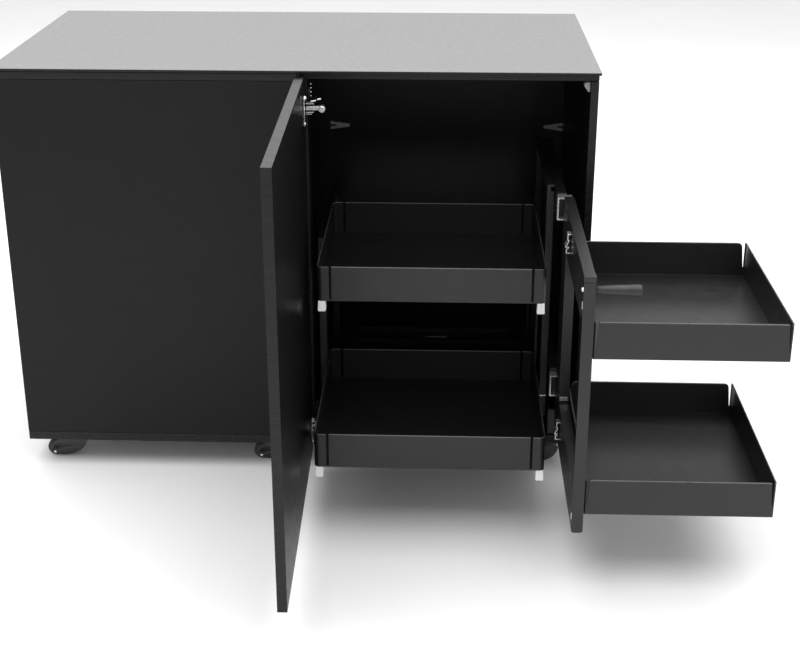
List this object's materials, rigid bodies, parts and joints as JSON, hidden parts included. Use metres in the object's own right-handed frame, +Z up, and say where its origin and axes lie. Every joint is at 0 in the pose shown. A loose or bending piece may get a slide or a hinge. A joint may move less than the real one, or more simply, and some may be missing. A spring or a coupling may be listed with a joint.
{
  "type": "mobile corner pull-out kitchen cabinet",
  "caption": "Black kitchen base cabinet on casters with a fixed blind front, an open door, a swing-out frame with side trays and rear trays on runners.",
  "frame": {"origin": "centre of the open cabinet's whole footprint, at floor level", "axes": "+X to the right along the cabinet's width, +Y from the fronts to the back, +Z up"},
  "size_m": [1.509, 1.1994, 0.885],
  "materials": {
    "black_board": "matte black melamine on board",
    "worktop_laminate": "satin dark laminate with a fine grain",
    "anthracite_powder_coat": "satin anthracite powder coat",
    "nickel_steel": "bright nickel plate",
    "dark_steel": "dark passivated steel",
    "white_plastic": "white translucent nylon",
    "black_plastic": "black nylon",
    "tyre": "black soft tread",
    "grey_plastic": "grey moulded plastic"
  },
  "bodies": {
    "cabinet": {"worktop": "worktop_laminate", "carcass_top": "black_board", "carcass_base": "black_board", "left_side": "black_board", "right_side": "black_board", "back_panel": "black_board", "blind_front": "black_board", "hinge_stile": "black_board", "wall_fork_left": "grey_plastic", "wall_fork_right": "grey_plastic", "door_catch": "grey_plastic", "lower_hinge_arm": "nickel_steel", "upper_hinge_arm": "nickel_steel", "slide_frame": "anthracite_powder_coat", "floor_track_front": "dark_steel", "floor_track_back": "dark_steel", "damper_rack": "dark_steel"},
    "door_leaf": {"door": "black_board", "lower_hinge_cup": "nickel_steel", "upper_hinge_cup": "nickel_steel"},
    "front_carrier": {"carrier_frame": "anthracite_powder_coat", "lower_pivot_bracket": "nickel_steel", "upper_pivot_bracket": "nickel_steel"},
    "swing_unit": {"swing_frame": "anthracite_powder_coat", "swing_handle": "black_plastic", "lower_swing_tray": "anthracite_powder_coat", "upper_swing_tray": "anthracite_powder_coat", "lower_tray_hook": "nickel_steel", "upper_tray_hook": "nickel_steel"},
    "rear_carriage": {"rear_left_frame": "anthracite_powder_coat", "rear_right_frame": "anthracite_powder_coat", "rear_beam_front": "anthracite_powder_coat", "rear_beam_back": "anthracite_powder_coat", "lower_left_runner": "dark_steel", "lower_right_runner": "dark_steel", "upper_left_runner": "dark_steel", "upper_right_runner": "dark_steel"},
    "lower_middle_bars": {"lower_left_middle_bar": "dark_steel", "lower_right_middle_bar": "dark_steel"},
    "upper_middle_bars": {"upper_left_middle_bar": "dark_steel", "upper_right_middle_bar": "dark_steel"},
    "lower_tray": {"lower_rear_tray": "anthracite_powder_coat", "lower_left_clip": "white_plastic", "lower_right_clip": "white_plastic"},
    "upper_tray": {"upper_rear_tray": "anthracite_powder_coat", "upper_left_clip": "white_plastic", "upper_right_clip": "white_plastic"},
    "front_left_caster_fork": {"front_left_caster_fork": "black_plastic"},
    "front_left_caster_wheel": {"front_left_caster_wheel": "tyre"},
    "front_middle_caster_fork": {"front_middle_caster_fork": "black_plastic"},
    "front_middle_caster_wheel": {"front_middle_caster_wheel": "tyre"},
    "front_right_caster_fork": {"front_right_caster_fork": "black_plastic"},
    "front_right_caster_wheel": {"front_right_caster_wheel": "tyre"},
    "back_left_caster_fork": {"back_left_caster_fork": "black_plastic"},
    "back_left_caster_wheel": {"back_left_caster_wheel": "tyre"},
    "back_middle_caster_fork": {"back_middle_caster_fork": "black_plastic"},
    "back_middle_caster_wheel": {"back_middle_caster_wheel": "tyre"},
    "back_right_caster_fork": {"back_right_caster_fork": "black_plastic"},
    "back_right_caster_wheel": {"back_right_caster_wheel": "tyre"}
  },
  "joints": [
    {"name": "door_hinge", "type": "hinge", "parent": "cabinet", "child": "door_leaf", "pos_m": [-0.1513, -0.00157, 0.4675], "axis": [0, 0, 1], "range_deg": [-20, 3]},
    {"name": "front_carrier_slide", "type": "slide", "parent": "cabinet", "child": "front_carrier", "axis": [0, 1, 0], "range_m": [0, 0.03]},
    {"name": "swing_frame_hinge", "type": "hinge", "parent": "front_carrier", "child": "swing_unit", "pos_m": [0.3975, 0.01373, 0.4], "axis": [0, 0, 1], "range_deg": [-6, 8]},
    {"name": "rear_carriage_shift", "type": "slide", "parent": "cabinet", "child": "rear_carriage", "axis": [1, 0, 0], "range_m": [-0.012, 0]},
    {"name": "lower_tray_slide", "type": "slide", "parent": "rear_carriage", "child": "lower_tray", "axis": [0, 1, 0], "range_m": [0, 0.356]},
    {"name": "lower_middle_bars_slide", "type": "slide", "parent": "rear_carriage", "child": "lower_middle_bars", "axis": [0, 1, 0], "range_m": [0, 0.178]},
    {"name": "upper_tray_slide", "type": "slide", "parent": "rear_carriage", "child": "upper_tray", "axis": [0, 1, 0], "range_m": [-0.128, 0.228]},
    {"name": "upper_middle_bars_slide", "type": "slide", "parent": "rear_carriage", "child": "upper_middle_bars", "axis": [0, 1, 0], "range_m": [-0.064, 0.114]},
    {"name": "front_left_caster_swivel", "type": "hinge", "parent": "cabinet", "child": "front_left_caster_fork", "pos_m": [-0.6555, 0.04873, 0.05], "axis": [0, 0, 1], "continuous": true},
    {"name": "front_left_caster_roll", "type": "hinge", "parent": "front_left_caster_fork", "child": "front_left_caster_wheel", "pos_m": [-0.7075, 0.04873, 0.019], "axis": [0, 1, 0], "continuous": true},
    {"name": "front_middle_caster_swivel", "type": "hinge", "parent": "cabinet", "child": "front_middle_caster_fork", "pos_m": [-0.1955, 0.04873, 0.05], "axis": [0, 0, 1], "continuous": true},
    {"name": "front_middle_caster_roll", "type": "hinge", "parent": "front_middle_caster_fork", "child": "front_middle_caster_wheel", "pos_m": [-0.2475, 0.04873, 0.019], "axis": [0, 1, 0], "continuous": true},
    {"name": "front_right_caster_swivel", "type": "hinge", "parent": "cabinet", "child": "front_right_caster_fork", "pos_m": [0.3835, 0.04873, 0.05], "axis": [0, 0, 1], "continuous": true},
    {"name": "front_right_caster_roll", "type": "hinge", "parent": "front_right_caster_fork", "child": "front_right_caster_wheel", "pos_m": [0.3315, 0.04873, 0.019], "axis": [0, 1, 0], "continuous": true},
    {"name": "back_left_caster_swivel", "type": "hinge", "parent": "cabinet", "child": "back_left_caster_fork", "pos_m": [-0.6555, 0.55273, 0.05], "axis": [0, 0, 1], "continuous": true},
    {"name": "back_left_caster_roll", "type": "hinge", "parent": "back_left_caster_fork", "child": "back_left_caster_wheel", "pos_m": [-0.7075, 0.55273, 0.019], "axis": [0, 1, 0], "continuous": true},
    {"name": "back_middle_caster_swivel", "type": "hinge", "parent": "cabinet", "child": "back_middle_caster_fork", "pos_m": [-0.1955, 0.55273, 0.05], "axis": [0, 0, 1], "continuous": true},
    {"name": "back_middle_caster_roll", "type": "hinge", "parent": "back_middle_caster_fork", "child": "back_middle_caster_wheel", "pos_m": [-0.2475, 0.55273, 0.019], "axis": [0, 1, 0], "continuous": true},
    {"name": "back_right_caster_swivel", "type": "hinge", "parent": "cabinet", "child": "back_right_caster_fork", "pos_m": [0.3835, 0.55273, 0.05], "axis": [0, 0, 1], "continuous": true},
    {"name": "back_right_caster_roll", "type": "hinge", "parent": "back_right_caster_fork", "child": "back_right_caster_wheel", "pos_m": [0.3315, 0.55273, 0.019], "axis": [0, 1, 0], "continuous": true}
  ],
  "couplings": [
    {"joint": "lower_middle_bars_slide", "follows": "lower_tray_slide", "ratio": 0.5},
    {"joint": "upper_middle_bars_slide", "follows": "upper_tray_slide", "ratio": 0.5}
  ]
}
